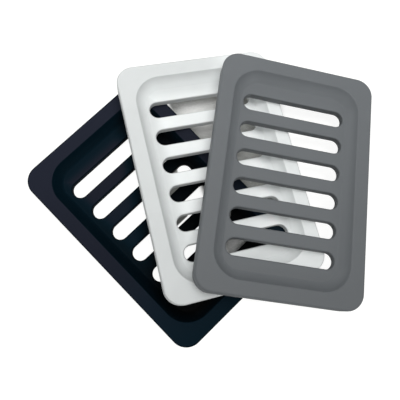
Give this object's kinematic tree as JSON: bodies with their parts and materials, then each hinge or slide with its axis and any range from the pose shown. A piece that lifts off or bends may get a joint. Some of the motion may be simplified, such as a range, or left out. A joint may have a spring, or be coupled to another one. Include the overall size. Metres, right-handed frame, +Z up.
{
  "type": "soap dish set",
  "caption": "Set of silicone soap dishes with a flat rim, a recess with sloping walls and drain slots, stacked in a fan; each lifts straight up off the dish below.",
  "frame": {"origin": "on the table, under the middle of the box round the whole set", "axes": "+Z up off the table; +Y along the long side of the lowest, charcoal dish; +X across it, towards the side on which the white and grey dishes fan out"},
  "size_m": [0.1688, 0.1662, 0.0404],
  "materials": {
    "charcoal_silicone": "matte moulded silicone",
    "white_silicone": "matte moulded silicone",
    "grey_silicone": "matte moulded silicone"
  },
  "bodies": {
    "charcoal": {"charcoal_dish": "charcoal_silicone"},
    "white": {"white_dish": "white_silicone"},
    "grey": {"grey_dish": "grey_silicone"}
  },
  "joints": [
    {"name": "white_lift", "type": "slide", "parent": "charcoal", "child": "white", "axis": [0, 0, 1], "range_m": [0, 0.06]},
    {"name": "grey_lift", "type": "slide", "parent": "white", "child": "grey", "axis": [0, 0, 1], "range_m": [0, 0.06]}
  ]
}
